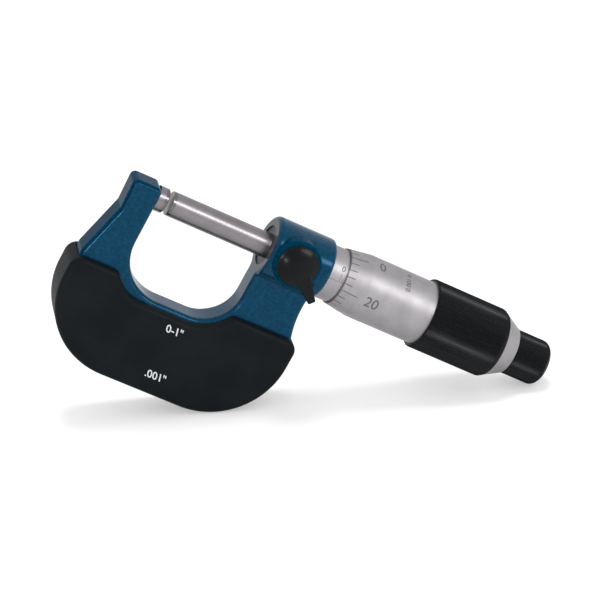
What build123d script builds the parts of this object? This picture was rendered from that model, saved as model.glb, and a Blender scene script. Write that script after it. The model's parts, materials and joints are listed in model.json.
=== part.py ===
from build123d import *
from math import asin, atan2, cos, degrees, hypot, radians, sin
import os

# Outside micrometer, 0 to 1 inch, with a lever lock and a ratchet stop.
# Millimetres. X and Y in the drawing plane MID are "along the spindle" and
# "up across the frame"; the origin is the centre of the anvil's measuring face.
# The tool stands as it is laid down on a bench: on the lower right curve of its
# insulating covers and on the rim of the ratchet knob, so the spindle leans.

# ------------------------------------------------------------ driving sizes
INCH = 25.4

# measuring faces
travel = 1.0 * INCH              # spindle travel, 0 to 1 inch
opening = 0.045 * INCH           # gap between the measuring faces as it stands
face_radius = 0.25 * INCH / 2    # spindle and anvil
carbide_length = 0.9             # hard tips on anvil and spindle
tip_chamfer = 0.15
anvil_reach = 2.5                # anvil head standing out of the frame
anvil_shank_radius = 2.4
anvil_shank_length = 5.6

# frame
frame_thickness = 8.0
frame_edge_round = 1.25
tip_length = 7.75                # frame tip, along the spindle
tip_top = 3.35                   # top of the frame tip over the spindle axis
tip_corner_round = 1.4
tip_taper = 0.3                  # the arm's outer side draws in below the tip
arm_shoulder = 5.0               # depth under the axis where the arm turns outwards
arm_foot = 18.6                  # and where it has run out to its full width
throat_depth = 23.75             # spindle axis to throat floor
throat_left_radius = 12.2         # the throat's corner by the anvil
throat_right_radius = 9.7         # and by the boss
spindle_show = 2.7               # spindle standing out of the boss, fully open
neck_top_inset = 0.5             # neck's edge to the boss's end
neck_waist = 0.6                 # how far the neck draws in under the boss's end
neck_waist_depth = 13.0
neck_foot_depth = 18.6
neck_foot_out = 0.6               # how far the neck's foot runs out past the boss's end

# boss that carries the sleeve and the lock
boss_radius = 8.05
boss_length = 16.2
boss_end_round = 1.0
neck_blend = 1.2
sleeve_recess = 0.3              # the guide sleeve sits back from the boss's face

# insulating covers
cover_half_width = 31.1
cover_depth = 46.1               # spindle axis to the covers' flat bottom
cover_side = 6.2                 # straight left side, over the big lower corner
cover_centre = 15.8              # middle of the covers, along the spindle
cover_rim = 1.6                  # cover wall outside the frame's edge
cover_plate = 2.3                # cover wall on the frame's sides
cover_edge_round = 1.5
cover_left_top = 19.7            # depth of the covers' top edge on the anvil side
cover_right_top = 18.8           # and on the boss side
cover_top_round = 3.2
cover_dip = 24.8                 # depth of the dip that clears the throat
cover_dip_left_radius = 9.7
cover_dip_left_in = 8.1          # frame tip's inner face to that arc's centre
cover_dip_right_radius = 11.7
cover_dip_right_in = 10.2        # boss's face to that arc's centre
cover_throat_round = 2.2
pocket_gap = 0.15
pin_radius = 1.5
pin_bite = 1.4                   # pin length inside each cover

# sleeves
guide_radius = 5.2               # guide sleeve, pressed into the boss
guide_shank_radius = 5.7         # guide sleeve, under the graduated sleeve
guide_bore_length = 11.6
guide_relief_radius = 4.1
scale_radius = 7.0               # graduated sleeve
zero_margin = 2.86               # boss to the zero line of the scale
scale_overrun = 1.6              # sleeve left beyond the last line
wrench_hole_radius = 0.6
wrench_hole_inset = 1.1
nut_length = 2.8                 # adjusting nut on the slotted end of the guide sleeve
nut_radius = 6.7
nut_notch = 1.0
nut_notches = 4
guide_taper = 0.3                # radius lost over the slotted end
slot_length = 13.5
slot_width = 0.8
slot_count = 3

# spindle
thread_radius = 3.6
thread_engagement = 15.6
taper_length = 4.0
taper_large_radius = 3.4
taper_small_radius = 2.9
stub_radius = 2.0

# thimble
thimble_radius = 8.3
thimble_front_radius = 7.34
thimble_bevel = 6.4
thimble_bare = 24.8              # front edge to grip
thimble_seat_step = 0.2          # thimble is this much smaller under the grip
thimble_rear_bore = 6.6
grip_radius = 9.2
grip_length = 21.2
grip_front_round = 0.5
grip_rear_bevel = 1.0            # along the spindle
grip_rear_drop = 0.55            # and towards it
cone_length = 4.4
cone_large_radius = 8.6
cone_small_radius = 6.3
cone_spigot = 5.0
clamp_nut_radius = 4.6
clamp_nut_length = 3.0
clamp_nut_flats = 8.0

# ratchet stop
knob_radius = 5.95
knob_length = 10.25
knob_end_round = 2.1
knob_front_chamfer = 0.3
knob_bore = 4.75
knob_floor = 1.4
ratchet_neck_radius = 4.3
ratchet_flange = 1.3
tooth_height = 0.5
tooth_count = 24
pawl_plate = 1.65
pawl_key_width = 1.6
pawl_key_depth = 0.45
spring_coil_radius = 3.3
spring_wire_radius = 0.25
spring_turns = 3.0
screw_shank_radius = 1.6
screw_thread_radius = 1.2
screw_thread_length = 4.6
screw_head_radius = 2.5
screw_head_length = 1.1
screw_slot = 0.6

# lever lock
lock_along = 6.8                 # boss's face to the lock's axis
lock_rise = 1.1                  # lock's axis above the spindle's
lock_pad_radius = 6.2
lock_pad_front = 9.0             # pad face in front of the spindle axis
lock_pad_round = 0.9
lock_disc_radius = 5.3
lock_disc_thickness = 2.2
lock_disc_round = 0.6
lock_tail_reach = 10.25
lock_tail_root = 5.0
lock_tail_tip = 1.8
lock_tail_round = 0.5
lock_tail_angle = -42.5          # as it stands, tail down and towards the thimble
lock_screw_radius = 2.5
lock_socket_depth = 1.3
lock_shoe_radius = 1.7
lock_shoe_inner = 1.6            # inner end of the shoe, in front of the axis

# fits
press_gap = 0.02                 # pieces that don't move on each other
running_gap = 0.04               # spindle and shafts in their bores
thimble_gap = 0.08               # thimble round the graduated sleeve
face_gap = 0.15                  # ends that turn past each other
shoe_gap = 0.06                  # lock shoe off the spindle, lock open

# ------------------------------------------------------------ stations along the spindle
spindle_face = opening
spindle_start = spindle_face + carbide_length
tip_inner = -anvil_reach
tip_outer = tip_inner - tip_length
boss_left = travel + spindle_show
boss_right = boss_left + boss_length
zero_line = boss_right + zero_margin
thimble_front = zero_line + opening
grip_front = thimble_front + thimble_bare
grip_rear = grip_front + grip_length
cone_rear = grip_rear + cone_length
knob_front = cone_rear + face_gap
knob_rear = knob_front + knob_length

guide_left = boss_left + sleeve_recess
guide_bore_end = guide_left + guide_bore_length
scale_rear = zero_line + travel + scale_overrun
nut_front = scale_rear + face_gap
nut_rear = nut_front + nut_length
guide_right = nut_rear + face_gap * 2
web_front = guide_right + opening + face_gap * 4
web_rear = web_front + taper_length
thread_start = guide_bore_end + opening + face_gap * 6
thread_bore_start = guide_right - thread_engagement

ratchet_face = knob_front + face_gap + ratchet_flange
pawl_face = ratchet_face + tooth_height
spring_left = pawl_face + pawl_plate
head_seat = knob_rear - screw_head_length - face_gap * 2
spring_right = head_seat - knob_floor
ratchet_left = web_rear + clamp_nut_length + face_gap * 4
stub_end = ratchet_face - screw_thread_length - face_gap

cover_outer = frame_thickness / 2 + cover_plate
cover_corner_radius = cover_depth - cover_left_top - cover_side
cover_left_centre = cover_centre - cover_half_width + cover_corner_radius
cover_right_centre = cover_centre + cover_half_width - cover_corner_radius
cover_centre_depth = cover_depth - cover_corner_radius
frame_corner_radius = cover_corner_radius - cover_rim
frame_depth = cover_depth - cover_rim
throat_left_centre = tip_inner + throat_left_radius
throat_right_centre = boss_left - throat_right_radius
throat_left_depth = throat_depth - throat_left_radius
throat_right_depth = throat_depth - throat_right_radius
lock_place = (boss_left + lock_along, lock_rise)

# ------------------------------------------------------------ how it stands
# The floor is the common tangent under the covers' lower right corner and the
# rounded rim of the knob.
rim_x = knob_rear - knob_end_round - cover_right_centre
rim_y = cover_centre_depth - (knob_radius - knob_end_round)
radius_step = cover_corner_radius - knob_end_round
lean = degrees(atan2(rim_y, rim_x) + asin(radius_step / hypot(rim_x, rim_y)))
AXIS = Vector(cos(radians(lean)), 0, -sin(radians(lean)))

# the frame's middle plane: x along the spindle, y up, z towards the front face
MID = Plane(origin=(0, 0, 0), x_dir=AXIS, z_dir=(0, -1, 0))
SPINDLE = Axis((0, 0, 0), AXIS)
print(f"lean {lean:.3f} degrees, axis {AXIS.X:.6f} {AXIS.Z:.6f}")


def across(x):
    """Plane square to the spindle at a station, with its y up across the frame."""
    return Plane(origin=AXIS * x, x_dir=(0, 1, 0), z_dir=AXIS)


def turned(*outline, mode=Mode.ADD):
    """Turn a closed outline of (station, radius) points about the spindle."""
    with BuildSketch(MID) as half:
        with BuildLine():
            Polyline(*outline, close=True)
        make_face()
    revolve(half.sketch, axis=SPINDLE, mode=mode)


def drilled(plane, radius, depth, places=((0, 0),)):
    """Cut round holes of one radius into the part, along a plane's normal."""
    with BuildSketch(plane) as holes:
        with Locations(*places):
            Circle(radius)
    extrude(holes.sketch, amount=depth, mode=Mode.SUBTRACT)


def saw_teeth(height, inner, outer, flipped):
    """One face tooth on the XY plane at the X axis; a flipped one fills the gaps."""
    half_angle = radians(180 / tooth_count)
    with BuildPart(mode=Mode.PRIVATE) as tooth:
        for reach in (inner, outer):
            half = reach * sin(half_angle) / cos(half_angle)
            with BuildSketch(Plane(origin=(reach, 0, 0), x_dir=(0, 1, 0), z_dir=(1, 0, 0))):
                if flipped:
                    Polygon((-half, 0), (-half, height), (half, height), align=None)
                else:
                    Polygon((-half, 0), (half, 0), (half, height), align=None)
        loft()
    return tooth.part


os.makedirs("parts", exist_ok=True)


# ------------------------------------------------------------ frame
def frame_outline():
    """Edge of the frame in MID: tip, anvil arm, lower limb, neck and throat."""
    left_side = cover_left_centre - frame_corner_radius
    right_side = cover_right_centre + frame_corner_radius
    shoulder = (tip_outer + tip_taper, -arm_shoulder)
    neck_top = (boss_right - neck_top_inset, -boss_radius * 0.8)
    waist = (boss_right - neck_waist, -neck_waist_depth)
    foot = (boss_right + neck_foot_out, -neck_foot_depth)
    Polyline((tip_inner, 0), (tip_inner, tip_top), (tip_outer, tip_top), shoulder, (left_side, -arm_foot))
    Line((left_side, -arm_foot), (left_side, -cover_centre_depth))
    CenterArc((cover_left_centre, -cover_centre_depth), frame_corner_radius, 180, 90)
    Line((cover_left_centre, -frame_depth), (cover_right_centre, -frame_depth))
    CenterArc((cover_right_centre, -cover_centre_depth), frame_corner_radius, 270, 90)
    Line((right_side, -cover_centre_depth), foot)
    ThreePointArc(foot, waist, neck_top)
    Polyline(neck_top, (neck_top[0], 0), (boss_left, 0), (boss_left, -throat_right_depth))
    CenterArc((throat_right_centre, -throat_right_depth), throat_right_radius, 0, -90)
    Line((throat_right_centre, -throat_depth), (throat_left_centre, -throat_depth))
    CenterArc((throat_left_centre, -throat_left_depth), throat_left_radius, 270, -90)
    Line((tip_inner, -throat_left_depth), (tip_inner, 0))


pin_places = [
    (cover_left_centre - frame_corner_radius / 2, -cover_centre_depth),
    (cover_centre, -(throat_depth + frame_depth) / 2),
    (cover_right_centre + frame_corner_radius / 2, -cover_centre_depth),
]

with BuildPart() as frame:
    with BuildSketch(MID) as web:
        with BuildLine():
            frame_outline()
        make_face()
        tip_corners = web.vertices().group_by(Axis.Y)[-1]
        fillet(tip_corners, tip_corner_round)
    extrude(amount=frame_thickness / 2, both=True)
    web_edges = frame.edges()
    with BuildSketch(across(boss_left)):
        Circle(boss_radius)
    extrude(amount=boss_length)
    # cast blend where the neck runs into the boss, then the frame's rounded rims
    seams = (frame.edges() - web_edges).filter_by(SPINDLE)
    fillet(seams.sort_by(Axis((0, 0, 0), MID.y_dir))[:2], neck_blend)
    rims = frame.faces().filter_by(Axis.Y).edges()
    neck_lines = rims.filter_by(SPINDLE).sort_by(SPINDLE)[-2:]
    fillet(rims - neck_lines, frame_edge_round)
    circles = frame.edges().filter_by(GeomType.CIRCLE).sort_by(SPINDLE)
    boss_ends = [circle for circle in circles if abs(circle.radius - boss_radius) < face_gap]
    fillet(boss_ends[-1], boss_end_round)
    # raised pad that the lock turns on
    with BuildSketch(MID):
        with Locations(lock_place):
            Circle(lock_pad_radius)
    extrude(amount=lock_pad_front)
    fillet(frame.edges().filter_by(GeomType.CIRCLE).sort_by(Axis.Y)[0], lock_pad_round)
    # bores: guide sleeve, anvil, lock screw, cover pins
    with BuildSketch(across(boss_left)):
        Circle(guide_radius + press_gap)
    extrude(amount=boss_length, mode=Mode.SUBTRACT)
    with BuildSketch(across(tip_inner)):
        Circle(anvil_shank_radius + press_gap)
    extrude(amount=-anvil_shank_length - face_gap, mode=Mode.SUBTRACT)
    with BuildSketch(MID):
        with Locations(lock_place):
            Circle(lock_screw_radius + running_gap)
    extrude(amount=lock_pad_front, mode=Mode.SUBTRACT)
    with BuildSketch(MID):
        with Locations(*pin_places):
            Circle(pin_radius + press_gap)
    extrude(amount=frame_thickness / 2, both=True, mode=Mode.SUBTRACT)
frame.part.label = "frame"
export_step(frame.part, "parts/frame.step")


# ------------------------------------------------------------ covers
def cover_outline():
    """Edge of an insulating cover in MID: two shoulders, and a dip round the throat."""
    left_x = cover_centre - cover_half_width
    right_x = cover_centre + cover_half_width
    left_c = (tip_inner + cover_dip_left_in, cover_dip_left_radius - cover_dip)
    right_c = (boss_left - cover_dip_right_in, cover_dip_right_radius - cover_dip)
    # where the two top edges run into the dip
    left_turn = degrees(asin((left_c[1] + cover_left_top) / cover_dip_left_radius))
    right_turn = degrees(asin((right_c[1] + cover_right_top) / cover_dip_right_radius))
    left_arc = CenterArc(left_c, cover_dip_left_radius, 180 + left_turn, 90 - left_turn)
    right_arc = CenterArc(right_c, cover_dip_right_radius, 270, 90 - right_turn)
    Line(left_arc @ 1, right_arc @ 0)
    Polyline(right_arc @ 1, (right_x, -cover_right_top), (right_x, -cover_centre_depth))
    CenterArc((cover_right_centre, -cover_centre_depth), cover_corner_radius, 360, -90)
    Line((cover_right_centre, -cover_depth), (cover_left_centre, -cover_depth))
    CenterArc((cover_left_centre, -cover_centre_depth), cover_corner_radius, 270, -90)
    Polyline((left_x, -cover_centre_depth), (left_x, -cover_left_top), left_arc @ 0)


for name, side in (("front_cover", 1), ("rear_cover", -1)):
    with BuildPart() as cover:
        with BuildSketch(MID) as face:
            with BuildLine():
                cover_outline()
            make_face()
            tops = face.vertices().group_by(Axis.Y)
            corners = (tops[-1] + tops[-2]).sort_by(Axis.X)
            fillet([corners[0], corners[-1]], cover_top_round)
            tops = face.vertices().group_by(Axis.Y)
            corners = (tops[-1] + tops[-2]).sort_by(Axis.X)
            fillet(corners[1:-1], cover_throat_round)
        extrude(amount=side * cover_outer)
        plate = cover.faces().sort_by(Axis.Y)[0 if side > 0 else -1]
        fillet(plate.edges(), cover_edge_round)
        with BuildSketch(MID):
            with BuildLine():
                frame_outline()
            make_face()
            offset(amount=pocket_gap)
        extrude(amount=side * frame_thickness / 2, mode=Mode.SUBTRACT)
        drilled(MID, pin_radius + press_gap, side * (frame_thickness / 2 + pin_bite + face_gap), pin_places)
    cover.part.label = name
    export_step(cover.part, f"parts/{name}.step")

with BuildPart() as cover_pins:
    with BuildSketch(MID):
        with Locations(*pin_places):
            Circle(pin_radius)
    extrude(amount=frame_thickness / 2 + pin_bite, both=True)
cover_pins.part.label = "cover_pins"
export_step(cover_pins.part, "parts/cover_pins.step")

# ------------------------------------------------------------ anvil
shank_end = tip_inner - anvil_shank_length

with BuildPart() as anvil:
    turned(
        (-carbide_length, 0),
        (-carbide_length, face_radius),
        (tip_inner, face_radius),
        (tip_inner, anvil_shank_radius),
        (shank_end, anvil_shank_radius),
        (shank_end, 0),
    )
anvil.part.label = "anvil"
export_step(anvil.part, "parts/anvil.step")

with BuildPart() as anvil_tip:
    turned(
        (0, 0),
        (0, face_radius - tip_chamfer),
        (-tip_chamfer, face_radius),
        (-carbide_length, face_radius),
        (-carbide_length, 0),
    )
anvil_tip.part.label = "anvil_tip"
export_step(anvil_tip.part, "parts/anvil_tip.step")

# ------------------------------------------------------------ sleeves in the boss
guide_bore = face_radius + running_gap
thread_bore = thread_radius + running_gap
slot_start = guide_right - slot_length
nut_taper = guide_taper / slot_length
nut_front_bore = guide_shank_radius - (nut_front - slot_start) * nut_taper + press_gap
nut_rear_bore = guide_shank_radius - (nut_rear - slot_start) * nut_taper + press_gap

with BuildPart() as guide_sleeve:
    turned(
        (guide_left, guide_bore),
        (guide_left, guide_radius),
        (boss_right, guide_radius),
        (boss_right, guide_shank_radius),
        (slot_start, guide_shank_radius),
        (guide_right, guide_shank_radius - guide_taper),
        (guide_right, thread_bore),
        (thread_bore_start, thread_bore),
        (thread_bore_start, guide_relief_radius),
        (guide_bore_end, guide_relief_radius),
        (guide_bore_end, guide_bore),
    )
    # slots that let the adjusting nut close the thread on the spindle
    with BuildSketch(across(slot_start)):
        with PolarLocations(guide_shank_radius / 2, slot_count):
            Rectangle(guide_shank_radius + 1, slot_width)
    extrude(amount=slot_length, mode=Mode.SUBTRACT)
    drilled(MID, lock_shoe_radius + running_gap, guide_radius + 1, [lock_place])
guide_sleeve.part.label = "guide_sleeve"
export_step(guide_sleeve.part, "parts/guide_sleeve.step")

with BuildPart() as scale_sleeve:
    turned(
        (boss_right + press_gap, guide_shank_radius + press_gap),
        (boss_right + press_gap, scale_radius),
        (scale_rear, scale_radius),
        (scale_rear, guide_shank_radius + press_gap),
    )
    # hole for the wrench that turns the sleeve to its zero, at the back
    wrench_place = [(boss_right + wrench_hole_inset, 0)]
    with BuildSketch(MID.offset(-scale_radius)):
        with Locations(*wrench_place):
            Circle(wrench_hole_radius)
    extrude(amount=scale_radius - guide_shank_radius, mode=Mode.SUBTRACT)
scale_sleeve.part.label = "scale_sleeve"
export_step(scale_sleeve.part, "parts/scale_sleeve.step")

with BuildPart() as adjusting_nut:
    turned(
        (nut_front, nut_front_bore),
        (nut_front, nut_radius),
        (nut_rear, nut_radius),
        (nut_rear, nut_rear_bore),
    )
    with BuildSketch(across(nut_front)):
        with PolarLocations(nut_radius, nut_notches):
            Rectangle(nut_notch, nut_notch)
    extrude(amount=nut_length, mode=Mode.SUBTRACT)
adjusting_nut.part.label = "adjusting_nut"
export_step(adjusting_nut.part, "parts/adjusting_nut.step")

# ------------------------------------------------------------ lever lock
shoe_outer = guide_radius + face_gap
screw_end = shoe_outer + face_gap
lever_back = lock_pad_front + face_gap

with BuildPart() as lock_shoe:
    with BuildSketch(MID.offset(lock_shoe_inner)):
        with Locations(lock_place):
            Circle(lock_shoe_radius)
    extrude(amount=shoe_outer - lock_shoe_inner)
    turned(
        (boss_left, 0),
        (boss_left, face_radius + shoe_gap),
        (boss_right, face_radius + shoe_gap),
        (boss_right, 0),
        mode=Mode.SUBTRACT,
    )
lock_shoe.part.label = "lock_shoe"
export_step(lock_shoe.part, "parts/lock_shoe.step")

with BuildPart() as lock_screw:
    with BuildSketch(MID.offset(screw_end)):
        with Locations(lock_place):
            Circle(lock_screw_radius)
    extrude(amount=lever_back + lock_socket_depth - screw_end)
lock_screw.part.label = "lock_screw"
export_step(lock_screw.part, "parts/lock_screw.step")

with BuildPart() as lock_lever:
    with BuildSketch(MID.offset(lever_back)) as lever_face:
        with Locations(lock_place):
            Circle(lock_disc_radius)
        with Locations(Location(lock_place, lock_tail_angle)):
            Polygon(
                (0, lock_tail_root / 2),
                (lock_tail_reach, lock_tail_tip / 2),
                (lock_tail_reach, -lock_tail_tip / 2),
                (0, -lock_tail_root / 2),
                align=None,
            )
        fillet(lever_face.vertices(), lock_tail_round)
    extrude(amount=lock_disc_thickness)
    fillet(lock_lever.faces().sort_by(Axis.Y)[0].edges(), lock_disc_round)
    drilled(MID.offset(lever_back), lock_screw_radius + press_gap, lock_socket_depth + face_gap, [lock_place])
lock_lever.part.label = "lock_lever"
export_step(lock_lever.part, "parts/lock_lever.step")

# ------------------------------------------------------------ spindle
taper_end = web_rear - face_gap * 2

with BuildPart() as spindle_tip:
    turned(
        (spindle_face, 0),
        (spindle_face, face_radius - tip_chamfer),
        (spindle_face + tip_chamfer, face_radius),
        (spindle_start, face_radius),
        (spindle_start, 0),
    )
spindle_tip.part.label = "spindle_tip"
export_step(spindle_tip.part, "parts/spindle_tip.step")

with BuildPart() as spindle:
    turned(
        (spindle_start, 0),
        (spindle_start, face_radius),
        (thread_start, face_radius),
        (thread_start, thread_radius),
        (web_front - face_gap, thread_radius),
        (web_front - face_gap, taper_large_radius),
        (taper_end, taper_small_radius),
        (taper_end, stub_radius),
        (stub_end, stub_radius),
        (stub_end, 0),
    )
spindle.part.label = "spindle"
export_step(spindle.part, "parts/spindle.step")

# ------------------------------------------------------------ thimble
seat_radius = thimble_radius - thimble_seat_step
thimble_bore = scale_radius + thimble_gap

with BuildPart() as thimble:
    turned(
        (thimble_front, thimble_bore),
        (thimble_front, thimble_front_radius),
        (thimble_front + thimble_bevel, thimble_radius),
        (grip_front, thimble_radius),
        (grip_front, seat_radius),
        (grip_rear, seat_radius),
        (grip_rear, thimble_rear_bore),
        (web_rear, thimble_rear_bore),
        (web_rear, taper_small_radius + press_gap),
        (web_front, taper_large_radius + press_gap),
        (web_front, thimble_bore),
    )
thimble.part.label = "thimble"
export_step(thimble.part, "parts/thimble.step")

with BuildPart() as thimble_nut:
    with BuildSketch(across(web_rear)):
        Circle(clamp_nut_radius)
        Rectangle(clamp_nut_flats, clamp_nut_radius * 2, mode=Mode.INTERSECT)
        Circle(stub_radius + press_gap, mode=Mode.SUBTRACT)
    extrude(amount=clamp_nut_length)
thimble_nut.part.label = "thimble_nut"
export_step(thimble_nut.part, "parts/thimble_nut.step")

with BuildPart() as grip_sleeve:
    turned(
        (grip_front, seat_radius + press_gap),
        (grip_front, grip_radius),
        (grip_rear - grip_rear_bevel, grip_radius),
        (grip_rear, grip_radius - grip_rear_drop),
        (grip_rear, seat_radius + press_gap),
    )
    front_edge = grip_sleeve.edges().filter_by(GeomType.CIRCLE).group_by(SPINDLE)[0].sort_by(SortBy.RADIUS)[-1]
    fillet(front_edge, grip_front_round)
grip_sleeve.part.label = "grip_sleeve"
export_step(grip_sleeve.part, "parts/grip_sleeve.step")

with BuildPart() as end_cone:
    turned(
        (grip_rear - cone_spigot, ratchet_neck_radius + face_gap),
        (grip_rear - cone_spigot, thimble_rear_bore - press_gap),
        (grip_rear, thimble_rear_bore - press_gap),
        (grip_rear, cone_large_radius),
        (cone_rear, cone_small_radius),
        (cone_rear, ratchet_neck_radius + face_gap),
    )
end_cone.part.label = "end_cone"
export_step(end_cone.part, "parts/end_cone.step")

# ------------------------------------------------------------ ratchet stop
flange_radius = knob_bore - face_gap * 2
tooth_inner = screw_head_radius
tooth_outer = flange_radius - face_gap
tooth_relief = running_gap       # the pawl's teeth stand this far off the body's

with BuildPart() as ratchet_body:
    turned(
        (ratchet_left, stub_radius + press_gap),
        (ratchet_left, ratchet_neck_radius),
        (knob_front + face_gap, ratchet_neck_radius),
        (knob_front + face_gap, flange_radius),
        (ratchet_face, flange_radius),
        (ratchet_face, screw_thread_radius + press_gap),
        (stub_end + face_gap / 2, screw_thread_radius + press_gap),
        (stub_end + face_gap / 2, stub_radius + press_gap),
    )
    with Locations(across(ratchet_face)):
        with PolarLocations(0, tooth_count):
            add(saw_teeth(tooth_height, tooth_inner, tooth_outer, False))
ratchet_body.part.label = "ratchet_body"
export_step(ratchet_body.part, "parts/ratchet_body.step")

with BuildPart() as ratchet_pawl:
    with BuildSketch(across(pawl_face + tooth_relief)):
        Circle(knob_bore - face_gap)
        Rectangle((knob_bore + pawl_key_depth - face_gap) * 2, pawl_key_width - face_gap)
        Circle(screw_shank_radius + face_gap, mode=Mode.SUBTRACT)
    extrude(amount=pawl_plate - tooth_relief)
    with Locations(across(ratchet_face + tooth_relief)):
        with PolarLocations(0, tooth_count):
            add(saw_teeth(tooth_height, tooth_inner, tooth_outer, True))
ratchet_pawl.part.label = "ratchet_pawl"
export_step(ratchet_pawl.part, "parts/ratchet_pawl.step")

spring_height = spring_right - spring_left - spring_wire_radius * 2

with BuildPart() as ratchet_spring:
    coil_start = AXIS * (spring_left + spring_wire_radius)
    with BuildLine() as coil:
        Helix(spring_height / spring_turns, spring_height, spring_coil_radius, coil_start, AXIS)
    with BuildSketch(Plane(origin=coil.line @ 0, z_dir=coil.line % 0)):
        RegularPolygon(spring_wire_radius, 6)
    sweep(is_frenet=True)
ratchet_spring.part.label = "ratchet_spring"
export_step(ratchet_spring.part, "parts/ratchet_spring.step")

with BuildPart() as ratchet_screw:
    turned(
        (ratchet_face - screw_thread_length, 0),
        (ratchet_face - screw_thread_length, screw_thread_radius),
        (ratchet_face, screw_thread_radius),
        (ratchet_face, screw_shank_radius),
        (head_seat + face_gap / 2, screw_shank_radius),
        (head_seat + face_gap / 2, screw_head_radius),
        (head_seat + face_gap / 2 + screw_head_length, screw_head_radius),
        (head_seat + face_gap / 2 + screw_head_length, 0),
    )
    with BuildSketch(across(head_seat + face_gap / 2 + screw_head_length)):
        Rectangle(screw_head_radius * 2 + 1, screw_slot)
    extrude(amount=-screw_head_length / 2, mode=Mode.SUBTRACT)
ratchet_screw.part.label = "ratchet_screw"
export_step(ratchet_screw.part, "parts/ratchet_screw.step")

with BuildPart() as ratchet_knob:
    turned(
        (knob_front, knob_bore),
        (knob_front, knob_radius - knob_front_chamfer),
        (knob_front + knob_front_chamfer, knob_radius),
        (knob_rear, knob_radius),
        (knob_rear, screw_head_radius + face_gap),
        (head_seat, screw_head_radius + face_gap),
        (head_seat, screw_shank_radius + running_gap),
        (spring_right, screw_shank_radius + running_gap),
        (spring_right, knob_bore),
    )
    rear_edge = ratchet_knob.edges().filter_by(GeomType.CIRCLE).group_by(SPINDLE)[-1].sort_by(SortBy.RADIUS)[-1]
    fillet(rear_edge, knob_end_round)
    # two grooves that carry the pawl's lugs round
    with BuildSketch(across(knob_front)):
        Rectangle((knob_bore + pawl_key_depth) * 2, pawl_key_width)
        Circle(knob_bore - face_gap, mode=Mode.SUBTRACT)
    extrude(amount=spring_right - knob_front, mode=Mode.SUBTRACT)
ratchet_knob.part.label = "ratchet_knob"
export_step(ratchet_knob.part, "parts/ratchet_knob.step")
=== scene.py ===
"""Outside micrometer, 0 to 1 inch: finishes, scales, knurls, print and studio.

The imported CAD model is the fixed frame. Lengths are written in millimetres and
become metres where they meet Blender, apart from those that the studio names as
metres.
"""
import json
import logging
from dataclasses import dataclass, field
from enum import Enum
from math import atan2, cos, pi, radians, sin
from typing import Callable, Iterable, Sequence

import bpy
from mathutils import Matrix, Vector

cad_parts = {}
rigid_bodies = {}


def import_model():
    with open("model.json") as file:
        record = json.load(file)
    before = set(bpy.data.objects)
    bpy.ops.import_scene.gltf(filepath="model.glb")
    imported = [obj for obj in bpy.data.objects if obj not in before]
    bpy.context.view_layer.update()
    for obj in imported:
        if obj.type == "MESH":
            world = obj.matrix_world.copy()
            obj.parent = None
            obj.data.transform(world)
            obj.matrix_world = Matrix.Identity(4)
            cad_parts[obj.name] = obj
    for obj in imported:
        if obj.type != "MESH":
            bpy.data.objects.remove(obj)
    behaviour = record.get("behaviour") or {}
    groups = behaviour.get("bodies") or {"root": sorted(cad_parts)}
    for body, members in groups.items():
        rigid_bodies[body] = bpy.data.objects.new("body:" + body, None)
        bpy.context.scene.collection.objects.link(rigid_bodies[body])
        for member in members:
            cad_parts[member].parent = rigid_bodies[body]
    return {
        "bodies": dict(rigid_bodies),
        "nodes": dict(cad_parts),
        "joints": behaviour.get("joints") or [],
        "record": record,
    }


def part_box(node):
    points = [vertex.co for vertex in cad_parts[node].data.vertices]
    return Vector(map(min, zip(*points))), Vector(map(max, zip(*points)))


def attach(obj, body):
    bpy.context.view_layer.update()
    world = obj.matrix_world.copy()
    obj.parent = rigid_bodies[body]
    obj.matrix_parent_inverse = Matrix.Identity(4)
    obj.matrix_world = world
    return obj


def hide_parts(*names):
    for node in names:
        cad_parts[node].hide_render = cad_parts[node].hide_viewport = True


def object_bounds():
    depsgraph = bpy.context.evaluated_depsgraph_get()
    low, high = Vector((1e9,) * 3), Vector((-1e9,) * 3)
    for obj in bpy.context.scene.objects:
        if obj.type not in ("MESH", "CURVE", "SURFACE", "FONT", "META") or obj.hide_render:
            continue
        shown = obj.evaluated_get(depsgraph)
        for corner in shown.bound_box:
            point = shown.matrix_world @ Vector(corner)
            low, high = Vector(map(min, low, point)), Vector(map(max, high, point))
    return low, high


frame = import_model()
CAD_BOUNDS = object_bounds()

Node = bpy.types.Node
Socket = bpy.types.NodeSocket
Colour = tuple[int, int, int]
Triple = tuple[float, float, float]
Outline = list[tuple[float, float]]

LOG = logging.getLogger("micrometer")
MM = 0.001
WELD = 1e-6  # vertices closer than this, in metres, become one
NOISE_LOW, NOISE_HIGH = 0.3, 0.7  # nearly all values of a noise lie between


class Body(Enum):
    """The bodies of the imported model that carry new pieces."""

    FRAME = "frame"
    LOCK = "lock"
    THIMBLE = "thimble"
    RATCHET = "ratchet"


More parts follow.
